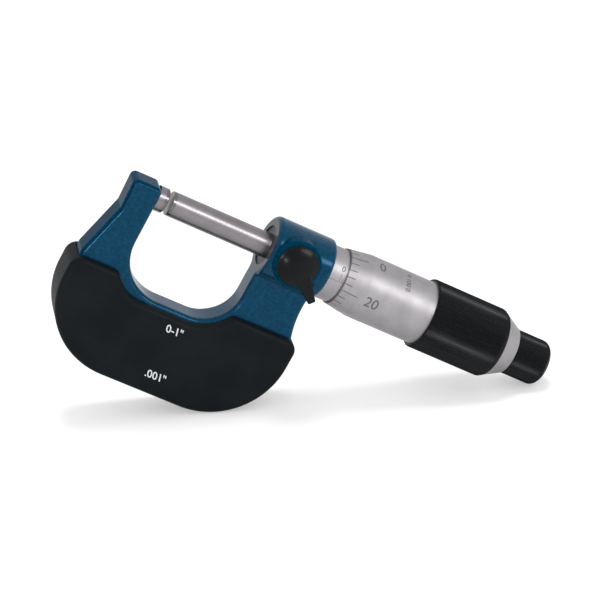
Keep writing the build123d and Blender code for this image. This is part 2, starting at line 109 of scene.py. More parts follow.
# ---------------------------------------------------------------- shader graphs
@dataclass
class Graph:
    """A node tree, with short calls for the nodes used here."""

    owner: bpy.types.Material | bpy.types.World

    @property
    def tree(self) -> bpy.types.NodeTree:
        """The material's or the world's node tree."""
        return self.owner.node_tree

    def node(self, kind: str, **values: object) -> Node:
        """Add a node and set its plain properties.

        Args:
            kind: Blender's node type.
            values: Properties of the node, by name.

        Returns:
            The new node.
        """
        made = self.tree.nodes.new(kind)
        for name, value in values.items():
            setattr(made, name, value)
        return made

    def link(self, source: Socket, target: Socket) -> None:
        """Join two sockets."""
        self.tree.links.new(source, target)

    def math(self, operation: str, first: object, second: object = 0.0) -> Socket:
        """Add a Math node.

        Args:
            operation: Blender's name of the operation.
            first: A socket or a number.
            second: A socket or a number.

        Returns:
            The result's socket.
        """
        made = self.node("ShaderNodeMath", operation=operation)
        for socket, value in zip(made.inputs, (first, second)):
            if isinstance(value, Socket):
                self.link(value, socket)
            else:
                socket.default_value = value
        return made.outputs[0]

    def all_of(self, first: Socket, *others: Socket) -> Socket:
        """Multiply masks of 0 or 1.

        Args:
            first: A mask.
            others: More masks.

        Returns:
            A mask that is 1 where all of them are.
        """
        product = first
        for mask in others:
            product = self.math("MULTIPLY", product, mask)
        return product

    def length(self, first: Socket, second: Socket) -> Socket:
        """Length of a flat vector, from its two parts."""
        squares = [self.math("MULTIPLY", part, part) for part in (first, second)]
        return self.math("SQRT", self.math("ADD", *squares))

    def split(self, vector: Socket) -> Node:
        """Separate a vector.

        Args:
            vector: The vector's socket.

        Returns:
            A node with the outputs X, Y and Z.
        """
        parts = self.node("ShaderNodeSeparateXYZ")
        self.link(vector, parts.inputs["Vector"])
        return parts

    def from_spindle(self, parts: Node) -> Socket:
        """Distance from the spindle's axis, from separated spindle coordinates."""
        return self.length(parts.outputs["Y"], parts.outputs["Z"])

    def along_spindle(self) -> Socket:
        """Turn object coordinates, so that X runs along the spindle and Z up across it.

        Returns:
            The turned vector's socket.
        """
        coordinates = self.node("ShaderNodeTexCoord")
        mapping = self.node("ShaderNodeMapping", vector_type="POINT")
        mapping.inputs["Rotation"].default_value = (0.0, -TOOL.lean, 0.0)
        self.link(coordinates.outputs["Object"], mapping.inputs["Vector"])
        return mapping.outputs["Vector"]

    def stretched(self, vector: Socket, scale: Triple) -> Socket:
        """Scale a vector, so that a texture read at it is stretched.

        Args:
            vector: The vector's socket.
            scale: Factor of each part; a small one stretches the texture along it.

        Returns:
            The scaled vector's socket.
        """
        mapping = self.node("ShaderNodeMapping", vector_type="POINT")
        mapping.inputs["Scale"].default_value = scale
        self.link(vector, mapping.inputs["Vector"])
        return mapping.outputs["Vector"]

    def noise(self, vector: Socket, size: float, detail: float = 2.0, roughness: float = 0.5) -> Socket:
        """Noise whose grains are about a given size.

        Args:
            vector: Where the texture is read.
            size: Size of a grain, in mm.
            detail: Octaves of the noise.
            roughness: Weight of the finer octaves.

        Returns:
            The noise's value, 0 to 1.
        """
        texture = self.node("ShaderNodeTexNoise")
        texture.inputs["Scale"].default_value = 1.0 / (size * MM)
        texture.inputs["Detail"].default_value = detail
        texture.inputs["Roughness"].default_value = roughness
        self.link(vector, texture.inputs["Vector"])
        return texture.outputs["Fac"]

    def ramp(self, value: Socket, stops: Iterable[tuple[float, Sequence[float]]]) -> Socket:
        """Colour ramp over a value.

        Args:
            value: The ramp's input.
            stops: Places and linear colours, in order.

        Returns:
            The colour's socket.
        """
        made = self.node("ShaderNodeValToRGB")
        stops = list(stops)
        elements = made.color_ramp.elements
        while len(elements) < len(stops):
            elements.new(1.0)
        for element, (place, colour) in zip(elements, stops):
            element.position = place
            element.color = (*colour, 1.0)
        self.link(value, made.inputs["Fac"])
        return made.outputs["Color"]

    def blend(self, mask: Socket, first: object, second: object) -> Socket:
        """Mix two colours by a mask.

        Args:
            mask: 0 for the first colour, 1 for the second.
            first: A colour socket or a linear colour.
            second: A colour socket or a linear colour.

        Returns:
            The mixed colour's socket.
        """
        made = self.node("ShaderNodeMix", data_type="RGBA")
        self.link(mask, made.inputs["Factor"])
        for socket, value in ((made.inputs[6], first), (made.inputs[7], second)):
            if isinstance(value, Socket):
                self.link(value, socket)
            else:
                socket.default_value = (*value, 1.0)
        return made.outputs[2]

    def span(self, value: Socket, low: float, high: float, to_low: float = 0.0, to_high: float = 1.0
             ) -> Socket:
        """Map a range of a value to another range, clamped.

        Args:
            value: The value's socket.
            low: Lower end of the range that is read.
            high: Its upper end.
            to_low: What the lower end becomes.
            to_high: What the upper end becomes.

        Returns:
            The mapped value's socket.
        """
        made = self.node("ShaderNodeMapRange")
        ends = (("From Min", low), ("From Max", high), ("To Min", to_low), ("To Max", to_high))
        for name, number in ends:
            made.inputs[name].default_value = number
        self.link(value, made.inputs["Value"])
        return made.outputs["Result"]

    def bump(self, height: Socket, depth: float, strength: float = 1.0, under: Socket | None = None
             ) -> Socket:
        """Bump from a height of 0 to 1.

        Args:
            height: The height's socket.
            depth: Depth of the relief, in mm.
            strength: Blender's strength of the effect.
            under: A normal to build on.

        Returns:
            The normal's socket.
        """
        made = self.node("ShaderNodeBump")
        made.inputs["Distance"].default_value = depth * MM
        made.inputs["Strength"].default_value = strength
        self.link(height, made.inputs["Height"])
        if under is not None:
            self.link(under, made.inputs["Normal"])
        return made.outputs["Normal"]


def rgb(red: int, green: int, blue: int) -> Triple:
    """Linear colour of an 8-bit sRGB colour."""
    def linear(level: int) -> float:
        """One level, by the sRGB standard's curve."""
        share = level / 255
        return share / 12.92 if share <= 0.04045 else ((share + 0.055) / 1.055) ** 2.4
    return (linear(red), linear(green), linear(blue))


def shifted(colour: Colour, step: Colour) -> Triple:
    """Linear colour of an 8-bit sRGB colour whose levels are moved by a step."""
    return rgb(*(level + move for level, move in zip(colour, step)))


@dataclass(frozen=True)
class Finish:
    """A surface finish: name, gloss and what its nodes add."""

    name: str
    roughness: float
    metallic: float = 0.0
    specular: float = 0.5
    ior: float = 1.5

    def material(self) -> bpy.types.Material:
        """Build the finish's material once, and find it again afterwards.

        Returns:
            The material.
        """
        made = bpy.data.materials.get(self.name)
        if made is None:
            made = bpy.data.materials.new(self.name)
            made.use_nodes = True
            graph = Graph(made)
            shader = made.node_tree.nodes["Principled BSDF"]
            shader.inputs["Roughness"].default_value = self.roughness
            shader.inputs["Metallic"].default_value = self.metallic
            shader.inputs["Specular IOR Level"].default_value = self.specular
            shader.inputs["IOR"].default_value = self.ior
            self.dress(graph, shader)
        return made

    def dress(self, graph: Graph, shader: Node) -> None:
        """Add the finish's own nodes."""
        raise NotImplementedError

    def vary_roughness(self, graph: Graph, shader: Node, texture: Socket, below: float, above: float
                       ) -> None:
        """Let the roughness follow a texture.

        Args:
            graph: The material's nodes.
            shader: Its Principled shader.
            texture: The texture's value.
            below: How far the roughness falls where the texture is low.
            above: How far it rises where the texture is high.
        """
        roughness = graph.span(texture, NOISE_LOW, NOISE_HIGH, self.roughness - below,
                               self.roughness + above)
        graph.link(roughness, shader.inputs["Roughness"])


@dataclass(frozen=True)
class HammeredPaint(Finish):
    """Blue hammered enamel; the turned end of the boss is bare metal.

    The lock's pad and the anvil arm's edge faces are duller than the rest.
    """

    dimple: float = 0.75
    dimple_share: float = 0.45
    dimple_depth: float = 0.03
    dimple_strength: float = 0.3
    speck: float = 0.28
    speck_depth: float = 0.012
    speck_strength: float = 0.35
    tones: tuple[tuple[float, Colour], ...] = (
        (0.34, (0, 40, 59)), (0.5, (0, 51, 74)), (0.66, (0, 63, 93)))
    flake: Triple = (0.22, 0.5, 0.86)
    bare: Colour = (52, 50, 51)
    # the bare face: its radius, and how far it reaches on either side of the boss's end
    face_radius: float = 7.15
    face_beyond: float = 0.12
    face_before: float = 3.0
    # the pad: how far it reaches from the lock's pivot, and the radius where it leaves the boss
    pad_reach: float = 8.0
    pad_foot: float = 8.12
    pad_gloss: float = 0.02
    # the arm's edges: the station that they end at, and how little they face the front
    rim_end: float = -3.5
    rim_facing: float = 0.85
    rim_gloss: float = 0.06

    def dress(self, graph: Graph, shader: Node) -> None:
        """Mottled blue with flow dimples, and a bare face round the spindle.

        Args:
            graph: The material's nodes.
            shader: Its Principled shader.
        """
        place = graph.along_spindle()
        parts = graph.split(place)
        dimples = graph.noise(place, self.dimple, detail=1.0, roughness=0.4)
        speckle = graph.noise(place, self.speck, detail=3.0, roughness=0.6)
        mottle = graph.math("ADD", graph.math("MULTIPLY", dimples, self.dimple_share),
                            graph.math("MULTIPLY", speckle, 1.0 - self.dimple_share))
        paint = graph.ramp(mottle, [(level, rgb(*tone)) for level, tone in self.tones])
        graph.link(graph.blend(self.bare_face(graph, parts), paint, rgb(*self.bare)),
                   shader.inputs["Base Color"])
        shader.inputs["Specular Tint"].default_value = (*self.flake, 1.0)
        graph.link(self.gloss(graph, parts), shader.inputs["Specular IOR Level"])
        self.vary_roughness(graph, shader, speckle, below=0.04, above=0.06)
        relief = graph.bump(dimples, self.dimple_depth, self.dimple_strength)
        graph.link(graph.bump(speckle, self.speck_depth, self.speck_strength, relief),
                   shader.inputs["Normal"])

    def bare_face(self, graph: Graph, parts: Node) -> Socket:
        """Mark the boss's bare end face.

        Args:
            graph: The material's nodes.
            parts: Separated spindle coordinates.

        Returns:
            A mask that is 1 on the bare face.
        """
        end = TOOL.station_range("frame", TOOL.on_boss)[0]
        return graph.all_of(
            graph.math("LESS_THAN", parts.outputs["X"], (end + self.face_beyond) * MM),
            graph.math("LESS_THAN", graph.from_spindle(parts), self.face_radius * MM),
            graph.math("GREATER_THAN", parts.outputs["X"], (end - self.face_before) * MM))

    def gloss(self, graph: Graph, parts: Node) -> Socket:
        """Lower the gloss on the lock's pad and on the anvil arm's edge faces.

        Args:
            graph: The material's nodes.
            parts: Separated spindle coordinates.

        Returns:
            The specular level's socket.
        """
        along = graph.math("SUBTRACT", parts.outputs["X"], TOOL.lock_station * MM)
        above = graph.math("SUBTRACT", parts.outputs["Z"], TOOL.lock_height * MM)
        pad = graph.all_of(
            graph.math("LESS_THAN", graph.length(along, above), self.pad_reach * MM),
            graph.math("LESS_THAN", parts.outputs["Y"], 0.0),
            graph.math("GREATER_THAN", graph.from_spindle(parts), self.pad_foot * MM))
        facing = graph.split(graph.node("ShaderNodeTexCoord").outputs["Normal"])
        rim = graph.all_of(
            graph.math("LESS_THAN", graph.math("ABSOLUTE", facing.outputs["Y"]), self.rim_facing),
            graph.math("LESS_THAN", parts.outputs["X"], self.rim_end * MM))
        pad_drop = graph.math("MULTIPLY", pad, self.specular - self.pad_gloss)
        rim_drop = graph.math("MULTIPLY", rim, self.specular - self.rim_gloss)
        return graph.math("SUBTRACT", self.specular, graph.math("ADD", pad_drop, rim_drop))


@dataclass(frozen=True)
class MouldedPlastic(Finish):
    """Moulded plastic with a fine spark-eroded grain."""

    colour: Colour = (26, 30, 33)
    darker: Colour = (-3, -3, -3)
    paler: Colour = (3, 4, 4)
    cloud_size: float = 9.0
    grain: float = 0.22
    grain_depth: float = 0.015

    def dress(self, graph: Graph, shader: Node) -> None:
        """Fine grain in height and gloss, and a faint drift of the colour.

        Args:
            graph: The material's nodes.
            shader: Its Principled shader.
        """
        place = graph.along_spindle()
        grain = graph.noise(place, self.grain, detail=2.0, roughness=0.6)
        drift = graph.noise(place, self.cloud_size, detail=2.0)
        tones = ((0.35, shifted(self.colour, self.darker)), (0.7, shifted(self.colour, self.paler)))
        graph.link(graph.ramp(drift, tones), shader.inputs["Base Color"])
        self.vary_roughness(graph, shader, grain, below=0.06, above=0.08)
        graph.link(graph.bump(grain, self.grain_depth, strength=0.35), shader.inputs["Normal"])


@dataclass(frozen=True)
class TurnedMetal(Finish):
    """Metal turned, ground or lapped about the spindle's axis."""

    metallic: float = 1.0
    colour: Colour = (168, 165, 168)
    pitch: float = 0.16
    line_depth: float = 0.002
    ring_stretch: Triple = (1.0, 0.02, 0.02)
    cloud: int = 6
    cloud_size: float = 3.5

    def dress(self, graph: Graph, shader: Node) -> None:
        """Fine rings round the axis, with a faint cloud in colour and gloss.

        Args:
            graph: The material's nodes.
            shader: Its Principled shader.
        """
        place = graph.along_spindle()
        rings = graph.noise(graph.stretched(place, self.ring_stretch), self.pitch,
                            detail=3.0, roughness=0.65)
        cloud = graph.noise(place, self.cloud_size, detail=3.0)
        tones = ((NOISE_LOW, shifted(self.colour, (-self.cloud,) * 3)),
                 (NOISE_HIGH, shifted(self.colour, (self.cloud,) * 3)))
        graph.link(graph.ramp(cloud, tones), shader.inputs["Base Color"])
        self.vary_roughness(graph, shader, rings, below=0.05, above=0.06)
        graph.link(graph.bump(rings, self.line_depth, strength=0.6), shader.inputs["Normal"])


@dataclass(frozen=True)
class EdgedChrome(TurnedMetal):
    """Satin chrome with a darker band painted along its front edge as painted shade, where the edge faces
    the boss.
    """

    # width of the painted shade band behind the front edge, in mm, and its darker colour
    rim: float = 0.36
    rim_colour: Colour = (112, 108, 112)

    def dress(self, graph: Graph, shader: Node) -> None:
        """Satin chrome, and the painted shade band at the thimble's front edge.

        Args:
            graph: The material's nodes.
            shader: Its Principled shader.
        """
        super().dress(graph, shader)
        satin = shader.inputs["Base Color"].links[0].from_socket
        station = graph.split(graph.along_spindle()).outputs["X"]
        edge = TOOL.station_range("thimble")[0]
        # painted shade: the band behind the front edge takes the darker colour
        rim = graph.math("LESS_THAN", station, (edge + self.rim) * MM)
        graph.link(graph.blend(rim, satin, rgb(*self.rim_colour)), shader.inputs["Base Color"])


@dataclass(frozen=True)
class BlackedKnurl(Finish):
    """Black anodised metal, worn a little paler on the knurl's crests."""

    crest: float = 9.2
    tooth: float = 0.185
    groove_colour: Colour = (5, 7, 9)
    crest_colour: Colour = (22, 26, 30)
    least_wear: float = 0.25
    streak_size: float = 0.5
    streak_stretch: Triple = (0.06, 1.0, 1.0)
    grain: float = 0.12
    grain_depth: float = 0.006

    def dress(self, graph: Graph, shader: Node) -> None:
        """Darker in the grooves, with streaks along the teeth.

        Args:
            graph: The material's nodes.
            shader: Its Principled shader.
        """
        place = graph.along_spindle()
        radius = graph.from_spindle(graph.split(place))
        height = graph.span(radius, (self.crest - self.tooth) * MM, self.crest * MM)
        streaks = graph.noise(graph.stretched(place, self.streak_stretch), self.streak_size,
                              detail=3.0, roughness=0.6)
        worn = graph.math("MULTIPLY", height, graph.span(streaks, 0.35, 0.7, self.least_wear, 1.0))
        graph.link(graph.blend(worn, rgb(*self.groove_colour), rgb(*self.crest_colour)),
                   shader.inputs["Base Color"])
        self.vary_roughness(graph, shader, streaks, below=0.06, above=0.1)
        graph.link(graph.bump(graph.noise(place, self.grain), self.grain_depth, strength=0.4),
                   shader.inputs["Normal"])


@dataclass(frozen=True)
class Ink(Finish):
    """Printed or filled figures, a little uneven in tone."""

    colour: Colour = (225, 226, 228)
    thin: float = 0.86
    patch: float = 0.25
    patch_depth: float = 0.004

    def dress(self, graph: Graph, shader: Node) -> None:
        """Patchy tone, as thin ink has.

        Args:
            graph: The material's nodes.
            shader: Its Principled shader.
        """
        patches = graph.noise(graph.along_spindle(), self.patch, detail=3.0, roughness=0.6)
        darker = rgb(*(int(level * self.thin) for level in self.colour))
        graph.link(graph.ramp(patches, ((0.3, darker), (0.6, rgb(*self.colour)))),
                   shader.inputs["Base Color"])
        graph.link(graph.bump(patches, self.patch_depth, strength=0.4), shader.inputs["Normal"])


class Finishes:
    """Every finish of the tool."""

    PAINT = HammeredPaint("blue_hammered_enamel", 0.15, specular=0.95, ior=1.33)
    COVER = MouldedPlastic("black_moulded_cover", 0.5, specular=0.35, ior=1.22, colour=(17, 21, 24))
    LEVER = MouldedPlastic("black_moulded_lever", 0.22, specular=0.14, colour=(11, 14, 16), grain=0.3)
    SPINDLE = TurnedMetal("ground_spindle_steel", 0.33, colour=(138, 134, 137), pitch=0.06)
    CARBIDE = TurnedMetal("lapped_carbide", 0.2, colour=(120, 116, 118), pitch=0.05, cloud=4)
    CHROME = TurnedMetal("brushed_satin_chrome", 0.5, pitch=0.12)
    THIMBLE = EdgedChrome("edged_satin_chrome", 0.5, pitch=0.12)
    STEEL = TurnedMetal("turned_steel", 0.32, colour=(150, 148, 147), line_depth=0.004)
    BLACK_STEEL = TurnedMetal("blackened_steel", 0.42, colour=(52, 51, 52), line_depth=0.004)
    # painted shade: the guide sleeve's end, sunk in the bore round the spindle, is coloured dark for the
    # shade in that recess
    SLEEVE_END = TurnedMetal("faced_sleeve_end_painted_shade", 0.36, colour=(58, 57, 58), pitch=0.14, line_depth=0.004)
    BRASS = TurnedMetal("turned_brass", 0.3, colour=(202, 170, 104))
    SPRING = TurnedMetal("spring_wire", 0.3, colour=(120, 121, 124), pitch=0.3)
    GRIP = BlackedKnurl("black_grip_knurl", 0.26, specular=0.16)
    KNOB = BlackedKnurl("black_knob_knurl", 0.26, specular=0.16, crest=5.95)
    WHITE_INK = Ink("white_print", 0.5)
    THIMBLE_FILL = Ink("thimble_graduation_fill", 0.6, colour=(94, 91, 94))
    SLEEVE_FILL = Ink("sleeve_graduation_fill", 0.6, colour=(112, 109, 112))


# ---------------------------------------------------------------- where things are
class ToolFrame:
    """The spindle's own directions, and stations and radii read from the CAD nodes.

    A station is a distance along the spindle from the anvil's face, a height is
    one up across the spindle, and a turn is an angle about the spindle, from the
    front of the tool upwards. They are read in mm and radians.
    """

    BOSS_RADII = (7.0, 8.3)
    BOSS_FROM = 20.0

    def __init__(self, packed: dict) -> None:
        """Take the spindle's direction from its slide and the lock's place from its pivot.
        """
        joints = {joint["name"]: joint for joint in packed["joints"]}
        self.nodes = packed["nodes"]
        self.axis = Vector(joints["spindle_slide"]["axis"]).normalized()
        self.front = Vector((0.0, -1.0, 0.0))
        self.up = self.front.cross(self.axis).normalized()
        if self.up.z < 0:
            self.up.negate()
        self.lean = atan2(-self.axis.z, self.axis.x)
        self.lock_pivot = Vector(joints["lock_turn"]["pos_m"])
        self.lock_station = self.lock_pivot.dot(self.axis) / MM
        self.lock_height = self.lock_pivot.dot(self.up) / MM

    def at(self, station: float, radius: float, turn: float = 0.0) -> Vector:
        """Point at a station, radius and turn, in metres."""
        outward = self.front * cos(turn) + self.up * sin(turn)
        return (self.axis * station + outward * radius) * MM

    def on_front(self, station: float, height: float, depth: float) -> Vector:
        """Point at a station, height across the spindle and distance in front, in metres."""
        return (self.axis * station + self.up * height + self.front * depth) * MM

    def lathe(self, station: float) -> Matrix:
        """Placement that turns a piece made about Z on to the spindle, Z along it."""
        turned = Matrix((self.up, self.front, self.axis)).transposed().to_4x4()
        return Matrix.Translation(self.axis * station * MM) @ turned

    def on_boss(self, station: float, radius: float) -> bool:
        """Whether a frame vertex can be the boss's end: on the boss, not on the lock pad."""
        return self.BOSS_RADII[0] < radius < self.BOSS_RADII[1] and station > self.BOSS_FROM

    def station_range(self, node: str, keep: Callable[[float, float], bool] | None = None
                      ) -> tuple[float, float]:
        """Lowest and highest station of a node.

        Args:
            node: The CAD node.
            keep: Test of a vertex's station and radius; all count without it.

        Returns:
            The two stations, in mm.
        """
        stations = []
        for vertex in self.nodes[node].data.vertices:
            station = vertex.co.dot(self.axis)
            radius = (vertex.co - self.axis * station).length
            if keep is None or keep(station / MM, radius / MM):
                stations.append(station / MM)
        return min(stations), max(stations)

    def radius(self, node: str) -> float:
        """Largest radius of a node about the spindle.

        Args:
            node: The CAD node.

        Returns:
            The radius, in mm.
        """
        largest = 0.0
        for vertex in self.nodes[node].data.vertices:
            along = self.axis * vertex.co.dot(self.axis)
            largest = max(largest, (vertex.co - along).length)
        return largest / MM


TOOL = ToolFrame(frame)


# ---------------------------------------------------------------- the workbench
class Workbench:
    """Calls to Blender's operators that every piece shares."""

    @staticmethod
    def clear() -> None:
        """Deselect everything, in object mode."""
        if bpy.context.object is not None and bpy.context.object.mode != "OBJECT":
            bpy.ops.object.mode_set(mode="OBJECT")
        bpy.ops.object.select_all(action="DESELECT")

    @classmethod
    def take(cls, *pieces: bpy.types.Object) -> None:
        """Select some pieces and nothing else.

        Args:
            pieces: The pieces; the first becomes the active one.
        """
        cls.clear()
        for piece in pieces:
            piece.select_set(True)
        bpy.context.view_layer.objects.active = pieces[0]

    @staticmethod
    def edit() -> None:
        """Go to edit mode, with the whole mesh selected."""
        bpy.ops.object.mode_set(mode="EDIT")
        bpy.ops.mesh.select_all(action="SELECT")

    @staticmethod
    def pick(mesh: bpy.types.Mesh, keep: Callable[[Vector], bool]) -> None:
        """Select the vertices of the mesh in edit mode that pass a test.

        Args:
            mesh: The mesh.
            keep: Test of a vertex's place.
        """
        bpy.ops.mesh.select_mode(type="VERT")
        bpy.ops.mesh.select_all(action="DESELECT")
        bpy.ops.object.mode_set(mode="OBJECT")
        for vertex in mesh.vertices:
            vertex.select = keep(vertex.co)
        bpy.ops.object.mode_set(mode="EDIT")

    @staticmethod
    def widen(across: float, up: float) -> None:
        """Scale what is selected about the Z axis.

        Args:
            across: Factor along X.
            up: Factor along Y.
        """
        bpy.ops.transform.resize(value=(across, up, 1.0), center_override=(0.0, 0.0, 0.0))

    @staticmethod
    def face_outwards() -> None:
        """Turn the normals of the mesh in edit mode outwards, and leave edit mode."""
        bpy.ops.mesh.select_all(action="SELECT")
        bpy.ops.mesh.normals_make_consistent(inside=False)
        bpy.ops.object.mode_set(mode="OBJECT")

    @classmethod
    def join(cls, pieces: Sequence[bpy.types.Object], name: str) -> bpy.types.Object:
        """Join pieces into one, under a new name.

        Args:
            pieces: The pieces.
            name: The name of the joined piece and its mesh.

        Returns:
            The joined piece.
        """
        cls.take(*pieces)
        if len(pieces) > 1:
            bpy.ops.object.join()
        joined = bpy.context.object
        joined.name = joined.data.name = name
        return joined

    @classmethod
    def settle(cls, piece: bpy.types.Object) -> None:
        """Apply a piece's place, so that its object is at the origin."""
        cls.take(piece)
        bpy.ops.object.transform_apply(location=True, rotation=True, scale=True)

    @classmethod
    def smooth(cls, piece: bpy.types.Object, angle: float) -> None:
        """Shade a piece smooth, with sharp edges over an angle in radians."""
        cls.take(piece)
        bpy.ops.object.shade_smooth_by_angle(angle=angle)

    @classmethod
    def hand_over(cls, piece: bpy.types.Object, body: Body, slot: str, finish: Finish,
                  replaces: Sequence[str] = ()) -> None:
        """Finish a piece and put it on its body.

        Args:
            piece: The new piece, in place.
            body: The body that carries it.
            slot: The record's material slot; not used.
            finish: The piece's finish.
            replaces: CAD nodes that the piece stands for.
        """
        piece.data.materials.clear()
        piece.data.materials.append(finish.material())
        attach(piece, body.value)
        if replaces:
            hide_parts(*replaces)
        LOG.info("%s: %d faces, on %s", piece.name, len(piece.data.polygons), body.value)


@dataclass
class Draughtsman:
    """Draws marks and figures flat, then lays them on a surface of the tool.

    Flat, X runs along the spindle, Y round it or up across it, and Z out of the
    surface, all in metres. The marks are slabs that are partly sunk.
    """

    CAP_HEIGHT = 0.72  # height of the font's capitals, as a share of its size

    thickness: float = 0.06
    proud: float = 0.014
    weight: float = 0.03
    upright: float = 0.0
    curve_steps: int = 5
    marks: list[bpy.types.Object] = field(default_factory=list)

    def stroke(self, start: float, length: float, centre: float, width: float, steps: int = 1) -> None:
        """Draw a straight mark.

        Args:
            start: Station where the mark starts, in mm.
            length: Its length along the spindle, in mm.
            centre: Its middle, up or round, in mm.
            width: Its size up or round, in mm.
            steps: Number of faces across, for a mark that bends round.
        """
        Workbench.clear()
        place = (start + length / 2, centre, self.proud - self.thickness / 2)
        bpy.ops.mesh.primitive_cube_add(size=1.0, location=[part * MM for part in place])
        mark = bpy.context.object
        mark.scale = (length * MM, width * MM, self.thickness * MM)
        Workbench.settle(mark)
        bpy.ops.object.mode_set(mode="EDIT")
        for cut in range(1, steps):
            level = (centre - width / 2 + width * cut / steps) * MM
            bpy.ops.mesh.select_all(action="SELECT")
            bpy.ops.mesh.bisect(plane_co=(0.0, level, 0.0), plane_no=(0.0, 1.0, 0.0))
        bpy.ops.object.mode_set(mode="OBJECT")
        self.marks.append(mark)

    def figure(self, text: str, station: float, centre: float, height: float, turn: float = 0.0) -> None:
        """Draw a figure, centred.

        Args:
            text: The figure.
            station: Its middle along the spindle, in mm.
            centre: Its middle, up or round, in mm.
            height: Height of its characters, in mm.
            turn: Turn of its line, in radians.
        """
        Workbench.clear()
        bpy.ops.object.text_add(location=(0.0, 0.0, 0.0))
        font = bpy.context.object.data
        font.body = text
        font.align_x = font.align_y = "CENTER"
        font.size = height * MM / self.CAP_HEIGHT
        font.extrude = self.thickness * MM / 2
        font.resolution_u = self.curve_steps
        font.offset = self.weight * MM
        font.shear = -self.upright
        bpy.ops.object.convert(target="MESH")
        label = bpy.context.object
        label.location = Vector((station, centre, self.proud - self.thickness / 2)) * MM
        label.rotation_euler = (0.0, 0.0, turn)
        Workbench.settle(label)
        self.marks.append(label)

    def lay(self, name: str, surface: Callable[[Vector], Vector]) -> bpy.types.Object:
        """Join what was drawn and lay it on a surface.

        Args:
            name: The piece's name.
            surface: Maps a flat point to the tool.

        Returns:
            The laid piece.
        """
        piece = Workbench.join(self.marks, name)
        self.marks = []
        Workbench.settle(piece)
        Workbench.edit()
        bpy.ops.mesh.remove_doubles(threshold=WELD)
        bpy.ops.mesh.quads_convert_to_tris()
        bpy.ops.object.mode_set(mode="OBJECT")
        for vertex in piece.data.vertices:
            vertex.co = surface(vertex.co.copy())
        piece.data.update()
        Workbench.edit()
        Workbench.face_outwards()
        return piece


# ---------------------------------------------------------------- sub-assemblies
@dataclass
class SleeveScale:
    """The fixed scale on the sleeve: index line, 40 divisions and figures 0 to 9."""

    inch: float = 25.4
    divisions: int = 40
    numbered: int = 4
    tail: float = 1.6
    line_width: float = 0.13
    index_start: float = 0.05
    index_rest: float = 0.6
    short: float = 1.15
    middle: float = 1.6
    long: float = 2.2
    bend_steps: int = 3
    figure_height: float = 1.45
    figure_lift: float = 0.75  # share of a figure's height, from the long lines to its middle
    turn: float = radians(7.6)

    def line_length(self, division: int) -> float:
        """Length of a division's line, in mm."""
        if division % self.numbered == 0:
            return self.long
        return self.middle if division % (self.numbered // 2) == 0 else self.short

    def build(self) -> None:
        """Draw the scale and lay it on the sleeve's front."""
        start, end = TOOL.station_range("scale_sleeve")
        radius = TOOL.radius("scale_sleeve")
        zero = end - self.tail - self.inch
        level = self.long + self.figure_height * self.figure_lift
        pen = Draughtsman()
        pen.stroke(start + self.index_start, end - start - self.index_rest, 0.0, self.line_width)
        for division in range(self.divisions + 1):
            length = self.line_length(division)
            station = zero + self.inch * division / self.divisions
            pen.stroke(station - self.line_width / 2, self.line_width, length / 2, length, self.bend_steps)
            if division % self.numbered == 0:
                digit = division // self.numbered % 10
                pen.figure(str(digit), station, level, self.figure_height)

        def round_sleeve(flat: Vector) -> Vector:
            """Place of a flat point on the sleeve."""
            return TOOL.at(flat.x / MM, radius + flat.z / MM, flat.y / MM / radius + self.turn)

        scale = pen.lay("sleeve_scale", round_sleeve)
        Workbench.hand_over(scale, Body.FRAME, "satin_chrome", Finishes.SLEEVE_FILL)


@dataclass
class ThimbleScale:
    """The 25 divisions and the figures of the thimble's bevelled edge."""

    divisions: int = 25
    numbered: int = 5
    bevel: float = 6.4
    front_radius: float = 7.34
    barrel_radius: float = 8.3
    shown: int = 20  # the division that shows in front
    shown_turn: float = radians(-4.4)
    line_start: float = 0.12
    line_width: float = 0.24
    short: float = 2.2
    long: float = 4.6
    figure_station: float = 8.7
    figure_height: float = 2.75
    reading_text: str = "0.001 in"
    reading_station: float = 16.3
    reading_turn: float = radians(61.0)
    reading_height: float = 1.3

    def radius_at(self, from_edge: float) -> float:
        """Radius of the thimble at a distance from its front edge."""
        share = min(max(from_edge / self.bevel, 0.0), 1.0)
        return self.front_radius + (self.barrel_radius - self.front_radius) * share

    def build(self) -> None:
        """Draw the divisions and figures and lay them round the thimble."""
        edge = TOOL.station_range("thimble")[0]
        pen = Draughtsman()
        for division in range(self.divisions):
            turn = self.shown_turn + (division - self.shown) * 2 * pi / self.divisions
            arc = turn * self.barrel_radius
            numbered = division % self.numbered == 0
            pen.stroke(edge + self.line_start, self.long if numbered else self.short, arc, self.line_width)
            if numbered:
                pen.figure(str(division), edge + self.figure_station, arc, self.figure_height)
        pen.figure(self.reading_text, edge + self.reading_station, self.reading_turn * self.barrel_radius,
                   self.reading_height, pi / 2)

        def round_thimble(flat: Vector) -> Vector:
            """Place of a flat point on the thimble."""
            radius = self.radius_at(flat.x / MM - edge)
            return TOOL.at(flat.x / MM, radius + flat.z / MM, flat.y / MM / self.barrel_radius)

        scale = pen.lay("thimble_scale", round_thimble)
        Workbench.hand_over(scale, Body.THIMBLE, "satin_chrome", Finishes.THIMBLE_FILL)


